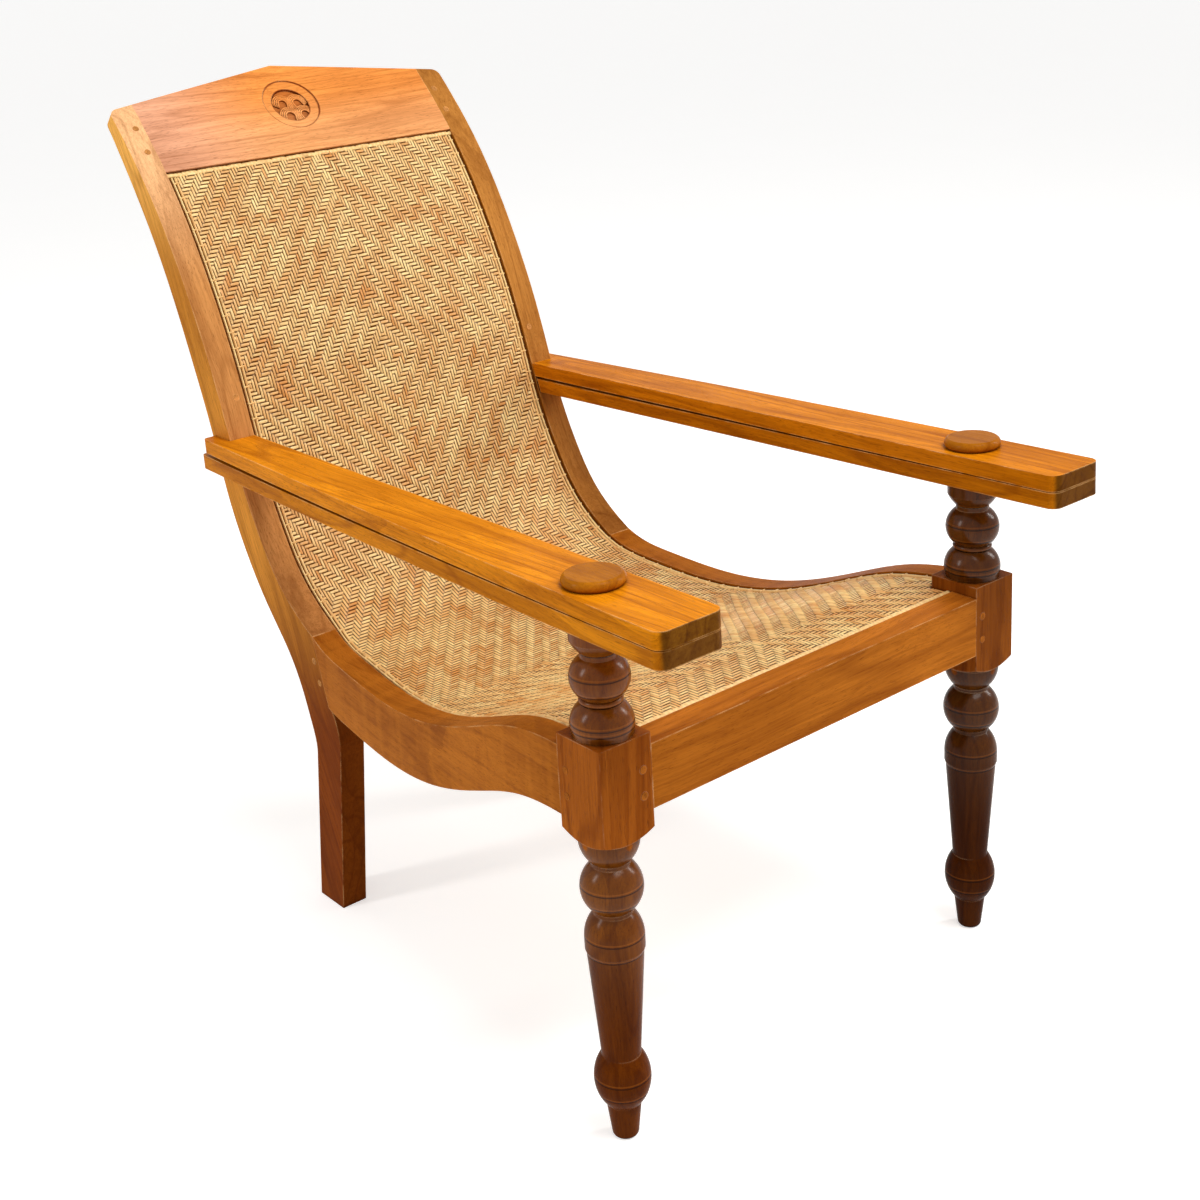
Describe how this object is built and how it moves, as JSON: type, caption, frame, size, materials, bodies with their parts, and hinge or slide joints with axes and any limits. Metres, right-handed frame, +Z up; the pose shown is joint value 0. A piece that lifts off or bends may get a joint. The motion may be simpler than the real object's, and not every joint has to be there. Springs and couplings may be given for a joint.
{
  "type": "planters chair",
  "caption": "Reclining veranda chair with a woven cane sling, turned front posts, long flat arms and leg rests that swing out from under them.",
  "frame": {"origin": "centre of the footprint, on the floor", "axes": "+X to the sitter's left, -Y the way the sitter faces, +Z up"},
  "size_m": [0.6364, 1.1398, 1.018],
  "materials": {
    "frame_wood": "satin oiled, warm orange brown",
    "arm_wood": "satin oiled, orange amber with plain grain",
    "turned_wood": "gloss varnish, dark red brown",
    "peg_wood": "satin, darker end grain",
    "woven_rattan": "satin split cane, straw gold",
    "rattan_strip": "satin split cane, straw gold"
  },
  "bodies": {
    "frame": {"front_post_right": "turned_wood", "front_post_left": "turned_wood", "rear_leg_right": "frame_wood", "rear_leg_left": "frame_wood", "side_rail_right": "frame_wood", "side_rail_left": "frame_wood", "front_rail": "frame_wood", "rear_seat_rail": "frame_wood", "lumbar_rail": "frame_wood", "crest_rail": "frame_wood", "cane_seat": "woven_rattan", "cane_border_top": "rattan_strip", "cane_border_front": "rattan_strip", "cane_border_right": "rattan_strip", "cane_border_left": "rattan_strip", "arm_right": "arm_wood", "arm_left": "arm_wood", "pivot_caps": "turned_wood", "pegs_front_posts": "peg_wood", "pegs_rear_legs": "peg_wood", "pegs_crest": "peg_wood", "pegs_lumbar": "peg_wood", "pegs_arms": "peg_wood"},
    "leg_rest_right": {"leg_rest_right": "arm_wood"},
    "leg_rest_left": {"leg_rest_left": "arm_wood"}
  },
  "joints": [
    {"name": "leg_rest_right_pivot", "type": "hinge", "parent": "frame", "child": "leg_rest_right", "pos_m": [-0.276, -0.4319, 0.568], "axis": [0, 0.0227, 0.9997], "range_deg": [0, 180]},
    {"name": "leg_rest_left_pivot", "type": "hinge", "parent": "frame", "child": "leg_rest_left", "pos_m": [0.276, -0.4319, 0.568], "axis": [0, -0.0227, -0.9997], "range_deg": [0, 180]}
  ]
}
